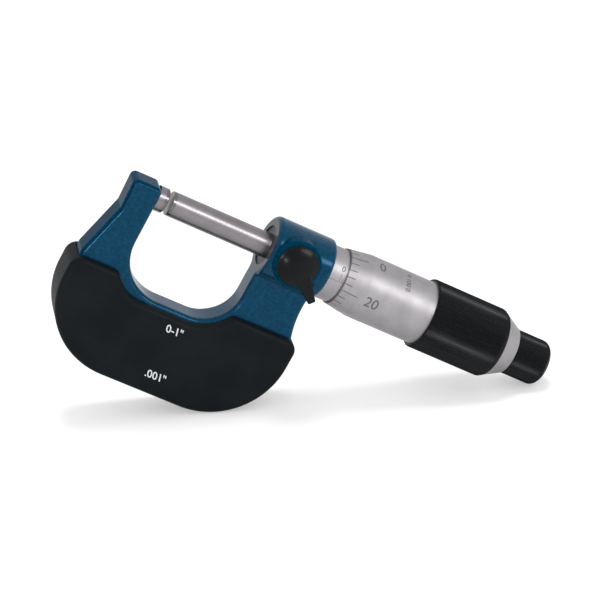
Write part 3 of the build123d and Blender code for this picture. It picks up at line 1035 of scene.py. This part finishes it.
@dataclass
class CoverPrint:
    """White figures printed on the front cover: the range and the reading.

    Each has its station and its height across the spindle as its place.
    """

    range_text: str = '0-1"'
    range_place: tuple[float, float] = (16.4, -27.9)
    reading_text: str = '.001"'
    reading_place: tuple[float, float] = (17.6, -40.7)
    character: float = 2.05
    proud: float = 0.02
    upright: float = 0.25

    def build(self) -> None:
        """Draw both lines and lay them on the cover."""
        face = -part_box("front_cover")[0].y / MM
        pen = Draughtsman(proud=self.proud, upright=self.upright)
        pen.figure(self.range_text, *self.range_place, self.character)
        pen.figure(self.reading_text, *self.reading_place, self.character)

        def on_cover(flat: Vector) -> Vector:
            """Place of a flat point on the cover's face."""
            return TOOL.on_front(flat.x / MM, flat.y / MM, face + flat.z / MM)

        printed = pen.lay("cover_print", on_cover)
        Workbench.hand_over(printed, Body.FRAME, "black_cover", Finishes.WHITE_INK)


@dataclass
class Knurled:
    """A turned piece with a straight knurl, made as a ring that is extruded and scaled."""

    name: str
    node: str
    body: Body
    finish: BlackedKnurl
    teeth: int
    knurl_reach: float  # how far in from the crests the grooves take the outline along
    sharp: float = radians(25.0)

    def outline(self, length: float, radius: float) -> Outline:
        """Stations and radii of the turned piece, in mm."""
        raise NotImplementedError

    def build(self) -> None:
        """Turn the piece, cut its knurl and put it on its body."""
        start, end = TOOL.station_range(self.node)
        radius = TOOL.radius(self.node)
        piece = self.turn(self.outline(end - start, radius))
        self.cut(piece.data, radius)
        Workbench.face_outwards()
        piece.matrix_world = TOOL.lathe(start)
        Workbench.settle(piece)
        Workbench.smooth(piece, self.sharp)
        piece.name = piece.data.name = self.name
        Workbench.hand_over(piece, self.body, "black_knurl", self.finish, [self.node])

    def turn(self, outline: Outline) -> bpy.types.Object:
        """Extrude a ring along an outline and close it.

        Args:
            outline: Stations and radii, in mm.

        Returns:
            The piece, in edit mode, about the Z axis.
        """
        station, radius = outline[0]
        Workbench.clear()
        bpy.ops.mesh.primitive_circle_add(vertices=self.teeth * 2, radius=radius * MM,
                                          location=(0.0, 0.0, station * MM))
        piece = bpy.context.object
        Workbench.settle(piece)
        Workbench.edit()
        for next_station, next_radius in outline[1:] + outline[:1]:
            bpy.ops.mesh.extrude_edges_indiv()
            bpy.ops.transform.translate(value=(0.0, 0.0, (next_station - station) * MM))
            Workbench.widen(next_radius / radius, next_radius / radius)
            station, radius = next_station, next_radius
        bpy.ops.mesh.select_all(action="SELECT")
        bpy.ops.mesh.remove_doubles(threshold=WELD)
        return piece

    def cut(self, mesh: bpy.types.Mesh, crest: float) -> None:
        """Draw every second column of the outside in, to leave teeth.

        Args:
            mesh: The piece's mesh, in edit mode, about the Z axis.
            crest: Radius of the knurl's crests, in mm.
        """
        columns = self.teeth * 2

        def in_groove(place: Vector) -> bool:
            """Whether a vertex lies in a groove."""
            column = round(atan2(place.y, place.x) / (2 * pi) * columns)
            return column % 2 == 1 and place.xy.length > (crest - self.knurl_reach) * MM

        Workbench.pick(mesh, in_groove)
        ratio = (crest - self.finish.tooth) / crest
        Workbench.widen(ratio, ratio)


@dataclass
class KnurledGrip(Knurled):
    """The grip sleeve on the thimble: rounded in front, bevelled at the back."""

    name: str = "grip_knurl"
    node: str = "grip_sleeve"
    body: Body = Body.THIMBLE
    finish: BlackedKnurl = Finishes.GRIP
    teeth: int = 132
    knurl_reach: float = 0.5
    bore: float = 8.12
    front_round: float = 0.35
    front_middle: tuple[float, float] = (0.1, 0.105)
    bevel: float = 1.0
    bevel_drop: float = 0.55
    bevel_before: float = 0.2
    bevel_middle: tuple[float, float] = (0.1, 0.07)

    def outline(self, length: float, radius: float) -> Outline:
        """Stations and radii of the grip, in mm.

        Args:
            length: The grip's length.
            radius: Its radius over the crests.

        Returns:
            The outline, from the bore's front edge round to its back edge.
        """
        bevel_start = length - self.bevel
        return [
            (0.0, self.bore), (0.0, radius - self.front_round),
            (self.front_middle[0], radius - self.front_middle[1]), (self.front_round, radius),
            (bevel_start - self.bevel_before, radius),
            (bevel_start + self.bevel_middle[0], radius - self.bevel_middle[1]),
            (length, radius - self.bevel_drop), (length, self.bore),
        ]


@dataclass
class KnurledKnob(Knurled):
    """The ratchet's knob: chamfered in front, with a round nose and a recess for its screw."""

    name: str = "knob_knurl"
    node: str = "ratchet_knob"
    body: Body = Body.RATCHET
    finish: BlackedKnurl = Finishes.KNOB
    teeth: int = 84
    knurl_reach: float = 0.75
    bore: float = 4.75
    chamfer: float = 0.3
    nose: float = 2.1
    nose_steps: int = 6
    recess: float = 2.65
    recess_depth: float = 1.4
    screw_hole: float = 1.64
    floor: float = 1.4

    def outline(self, length: float, radius: float) -> Outline:
        """Stations and radii of the knob, in mm.

        Args:
            length: The knob's length.
            radius: Its radius over the crests.

        Returns:
            The outline, from the bore's front edge round to its inner end.
        """
        turns = [pi / 2 * step / self.nose_steps for step in range(self.nose_steps + 1)]
        nose = [(length - self.nose + self.nose * sin(turn), radius - self.nose + self.nose * cos(turn))
                for turn in turns]
        seat = length - self.recess_depth
        return [
            (0.0, self.bore), (0.0, radius - self.chamfer), (self.chamfer, radius), *nose,
            (length, self.recess), (seat, self.recess), (seat, self.screw_hole),
            (seat - self.floor, self.screw_hole), (seat - self.floor, self.bore),
        ]


@dataclass
class DomedLever:
    """The lock's lever: a domed disc with a tapered tail, in one piece."""

    disc_radius: float = 5.3
    side: float = 0.35
    shoulder: float = 0.25
    shoulder_break: float = 0.3
    rings: int = 9
    columns: int = 72
    tail_reach: float = 10.25
    tail_root: float = 5.0
    tail_tip: float = 1.9
    tail_thick: float = 1.5
    tail_round: float = 0.32
    tail_round_steps: int = 3
    tail_turn: float = radians(-42.5)
    sharp: float = radians(28.0)

    def build(self) -> None:
        """Model the disc and the tail, unite them and put the lever on the lock."""
        low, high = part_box("lock_lever")
        lever = self.disc((high.y - low.y) / MM)
        tail = self.tail()
        Workbench.take(lever)
        union = lever.modifiers.new("union", "BOOLEAN")
        union.operation = "UNION"
        union.solver = "EXACT"
        union.object = tail
        bpy.ops.object.modifier_apply(modifier=union.name)
        bpy.data.objects.remove(tail, do_unlink=True)
        along = TOOL.axis * cos(self.tail_turn) + TOOL.up * sin(self.tail_turn)
        turned = Matrix((along, TOOL.front.cross(along), TOOL.front)).transposed().to_4x4()
        back = Vector((TOOL.lock_pivot.x, high.y, TOOL.lock_pivot.z))
        lever.matrix_world = Matrix.Translation(back) @ turned
        Workbench.settle(lever)
        Workbench.smooth(lever, self.sharp)
        lever.name = lever.data.name = "domed_lock_lever"
        Workbench.hand_over(lever, Body.LOCK, "black_lever", Finishes.LEVER, ["lock_lever"])

    def dome(self, height: float) -> Outline:
        """Levels and radii of the disc's side, shoulder and dome.

        Args:
            height: The lever's thickness, in mm.

        Returns:
            The outline, from the side upwards; its last ring is half a step from the middle.
        """
        radius = self.disc_radius - self.shoulder
        base = self.side + self.shoulder
        rise = height - base
        sphere = (radius ** 2 + rise ** 2) / (2 * rise)
        cut_back = self.shoulder * self.shoulder_break
        outline = [(self.side, self.disc_radius), (base - cut_back, self.disc_radius - cut_back)]
        for ring in range(self.rings + 1):
            across = radius * (1 - ring / (self.rings + 0.5))
            outline.append((base + (sphere ** 2 - across ** 2) ** 0.5 - (sphere - rise), across))
        return outline

    def disc(self, height: float) -> bpy.types.Object:
        """Raise the domed disc from a filled circle.

        Args:
            height: The lever's thickness, in mm.

        Returns:
            The disc, its back on Z = 0.
        """
        Workbench.clear()
        bpy.ops.mesh.primitive_circle_add(vertices=self.columns, radius=self.disc_radius * MM,
                                          fill_type="NGON")
        disc = bpy.context.object
        Workbench.edit()
        level, radius = 0.0, self.disc_radius
        for next_level, next_radius in self.dome(height):
            rise = {"value": (0.0, 0.0, (next_level - level) * MM)}
            bpy.ops.mesh.extrude_region_move(TRANSFORM_OT_translate=rise)
            Workbench.widen(next_radius / radius, next_radius / radius)
            level, radius = next_level, next_radius
        Workbench.face_outwards()
        return disc

    def tail(self) -> bpy.types.Object:
        """Taper a block into the tail and round its edges.

        Returns:
            The tail, along X from the disc's middle.
        """
        Workbench.clear()
        middle = (self.tail_reach / 2 * MM, 0.0, self.tail_thick / 2 * MM)
        bpy.ops.mesh.primitive_cube_add(size=1.0, location=middle)
        tail = bpy.context.object
        tail.scale = (self.tail_reach * MM, self.tail_root * MM, self.tail_thick * MM)
        Workbench.settle(tail)
        Workbench.edit()
        Workbench.pick(tail.data, lambda place: place.x > self.tail_reach * MM / 2)
        Workbench.widen(1.0, self.tail_tip / self.tail_root)
        bpy.ops.mesh.select_mode(type="EDGE")
        bpy.ops.mesh.select_all(action="SELECT")
        bpy.ops.mesh.bevel(offset=self.tail_round * MM, segments=self.tail_round_steps, affect="EDGES")
        bpy.ops.object.mode_set(mode="OBJECT")
        return tail


class Metalwork:
    """Finishes of the CAD nodes, also of those that a new piece stands for."""

    FINISHES: dict[str, Finish] = {
        "frame": Finishes.PAINT,
        "front_cover": Finishes.COVER,
        "rear_cover": Finishes.COVER,
        "lock_lever": Finishes.LEVER,
        "anvil": Finishes.SPINDLE,
        "spindle": Finishes.SPINDLE,
        "anvil_tip": Finishes.CARBIDE,
        "spindle_tip": Finishes.CARBIDE,
        "scale_sleeve": Finishes.CHROME,
        "thimble": Finishes.THIMBLE,
        "end_cone": Finishes.CHROME,
        "guide_sleeve": Finishes.SLEEVE_END,
        "lock_shoe": Finishes.BRASS,
        "ratchet_spring": Finishes.SPRING,
        "ratchet_screw": Finishes.BLACK_STEEL,
        "grip_sleeve": Finishes.GRIP,
        "ratchet_knob": Finishes.KNOB,
    }

    def build(self) -> None:
        """Give every CAD node its finish; those not listed are turned steel."""
        for name, node in frame["nodes"].items():
            material = self.FINISHES.get(name, Finishes.STEEL).material()
            if not node.data.materials:
                node.data.materials.append(material)
            for slot in node.material_slots:
                slot.material = material
            LOG.info("%s: %s", name, material.name)


# ---------------------------------------------------------------- studio
@dataclass
class Studio:
    """Pale floor, plain soft light and the camera.

    The floor's side, the lamps' sizes and distance and the camera's clip range are
    in metres. The camera's distance, target and sensor are in mm, its angles in
    degrees, its image in pixels and its scale in pixels per mm.
    """

    floor_side: float = 6.0
    floor_cuts: int = 4
    floor_level: int = 240
    floor_cloud: float = 60.0
    floor_cloud_step: int = 2
    floor_roughness: float = 0.85
    floor_specular: float = 0.1
    floor_glow: float = 0.22
    ambient: float = 0.74
    room: float = 0.85
    sun_power: float = 0.75
    sun_angle: float = radians(15.0)
    sun_falls: Triple = (0.0, -0.12, -1.0)
    lamp_distance: float = 0.8
    box_turn: float = radians(47.0)
    box_along: float = 0.3
    box_size: tuple[float, float] = (0.17, 0.52)
    box_power: float = 2.35
    side_from: Triple = (-0.534, -0.835, 0.14)
    side_size: tuple[float, float] = (0.12, 0.11)
    side_power: float = 0.75
    azimuth: float = -10.848
    elevation: float = 23.839
    roll: float = 0.886
    distance: float = 700.0
    image: int = 600
    scale: float = 4.007
    target: Triple = (45.0, 0.0, -25.0)
    target_pixel: tuple[float, float] = (345.2, 283.77)
    sensor: float = 36.0
    clip: tuple[float, float] = (0.02, 30.0)

    def build(self) -> None:
        """Set the floor, the world, the lamps and the camera."""
        self.floor()
        self.world()
        self.overhead()
        self.soft_box()
        self.side_box()
        self.camera()
        bpy.context.scene.view_settings.view_transform = "Standard"

    def floor(self) -> None:
        """Lay a plain pale floor under the tool."""
        Workbench.clear()
        bpy.ops.mesh.primitive_grid_add(x_subdivisions=self.floor_cuts, y_subdivisions=self.floor_cuts,
                                        size=self.floor_side, location=(0.0, 0.0, CAD_BOUNDS[0].z))
        floor = bpy.context.object
        floor.name = "floor"
        Workbench.settle(floor)
        floor.data.materials.append(self.floor_material())

    def floor_material(self) -> bpy.types.Material:
        """Make the floor's paint, which glows a little to the camera alone.

        Returns:
            The material.
        """
        material = bpy.data.materials.new("pale_floor")
        material.use_nodes = True
        graph = Graph(material)
        shader = material.node_tree.nodes["Principled BSDF"]
        grey = (self.floor_level,) * 3
        cloud = graph.noise(graph.along_spindle(), self.floor_cloud)
        tones = ((NOISE_LOW, rgb(*grey)), (NOISE_HIGH, shifted(grey, (self.floor_cloud_step,) * 3)))
        graph.link(graph.ramp(cloud, tones), shader.inputs["Base Color"])
        shader.inputs["Roughness"].default_value = self.floor_roughness
        shader.inputs["Specular IOR Level"].default_value = self.floor_specular
        shader.inputs["Emission Color"].default_value = (1.0, 1.0, 1.0, 1.0)
        path = graph.node("ShaderNodeLightPath")
        glow = graph.math("MULTIPLY", path.outputs["Is Camera Ray"], self.floor_glow)
        graph.link(glow, shader.inputs["Emission Strength"])
        return material

    def world(self) -> None:
        """Make the room white to the camera, pale in reflections and softly lit otherwise."""
        world = bpy.data.worlds.new("studio")
        bpy.context.scene.world = world
        world.use_nodes = True
        graph = Graph(world)
        background = world.node_tree.nodes["Background"]
        background.inputs["Color"].default_value = (1.0, 1.0, 1.0, 1.0)
        path = graph.node("ShaderNodeLightPath")
        reflected = graph.math("MAXIMUM", path.outputs["Is Glossy Ray"], path.outputs["Is Transmission Ray"])
        extra = graph.math("MULTIPLY", reflected, self.room - self.ambient)
        level = graph.math("ADD", extra, self.ambient)
        strength = graph.math("MAXIMUM", path.outputs["Is Camera Ray"], level)
        graph.link(strength, background.inputs["Strength"])

    def overhead(self) -> None:
        """Add the wide overhead light, which gives the floor its shadow."""
        Workbench.clear()
        bpy.ops.object.light_add(type="SUN", location=(0.0, 0.0, 1.0))
        sun = bpy.context.object
        sun.name = "overhead"
        sun.data.energy = self.sun_power
        sun.data.angle = self.sun_angle
        sun.visible_glossy = False
        sun.rotation_euler = Vector(self.sun_falls).to_track_quat("-Z", "Y").to_euler()

    def soft_box(self) -> None:
        """Add the long soft box, laid along the spindle, in front of the tool and to its right."""
        around = TOOL.front * cos(self.box_turn) + TOOL.up * sin(self.box_turn)
        back = (TOOL.axis * self.box_along + around * (1 - self.box_along ** 2) ** 0.5).normalized()
        along = (TOOL.axis - back * TOOL.axis.dot(back)).normalized()
        self.area("soft_box", Matrix((along.cross(back), along, back)), self.box_size, self.box_power)

    def side_box(self) -> None:
        """Add the small soft box low on the left, for the lever's dome and the left edges."""
        back = Vector(self.side_from).normalized()
        right = Vector((0.0, 0.0, 1.0)).cross(back).normalized()
        self.area("side_box", Matrix((right, back.cross(right), back)), self.side_size, self.side_power)

    def area(self, name: str, rows: Matrix, size: tuple[float, float], power: float) -> None:
        """Add a rectangular lamp that faces the target and casts no shadow.

        Args:
            name: The lamp's name.
            rows: Its width, height and backward directions.
            size: Its width and height, in metres.
            power: Its power, in watts.
        """
        Workbench.clear()
        place = Vector(self.target) * MM + rows[2] * self.lamp_distance
        bpy.ops.object.light_add(type="AREA", location=place)
        lamp = bpy.context.object
        lamp.name = name
        lamp.data.shape = "RECTANGLE"
        lamp.data.size, lamp.data.size_y = size
        lamp.data.energy = power
        lamp.data.use_shadow = False
        lamp.rotation_euler = rows.transposed().to_euler()

    def camera(self) -> None:
        """Set the camera, aimed so that the image needs no shift."""
        azimuth, elevation = radians(self.azimuth), radians(self.elevation)
        back = Vector((sin(azimuth) * cos(elevation), -cos(azimuth) * cos(elevation), sin(elevation)))
        right = Vector((cos(azimuth), sin(azimuth), 0.0))
        above = back.cross(right)
        roll = Matrix.Rotation(radians(self.roll), 3, back)
        right, above = roll @ right, roll @ above
        eye = (Vector(self.target) + back * self.distance) * MM
        centre = self.image / 2
        aim = Vector(self.target)
        aim -= right * ((self.target_pixel[0] - centre) / self.scale)
        aim += above * ((self.target_pixel[1] - centre) / self.scale)
        back = (eye - aim * MM).normalized()
        right = above.cross(back).normalized()
        above = back.cross(right)
        Workbench.clear()
        bpy.ops.object.camera_add()
        camera = bpy.context.object
        camera.name = "camera"
        turned = Matrix((right, above, back)).transposed().to_4x4()
        camera.matrix_world = Matrix.Translation(eye) @ turned
        camera.data.sensor_width = self.sensor
        camera.data.lens = self.scale * self.distance / self.image * self.sensor
        camera.data.clip_start, camera.data.clip_end = self.clip
        bpy.context.scene.camera = camera


def main() -> None:
    """Build the pieces, dress the nodes and set the studio."""
    logging.basicConfig(level=logging.INFO, format="%(name)s: %(message)s")
    Metalwork().build()
    SleeveScale().build()
    ThimbleScale().build()
    CoverPrint().build()
    DomedLever().build()
    KnurledGrip().build()
    KnurledKnob().build()
    Studio().build()
    Workbench.clear()


if __name__ == "__main__":
    main()
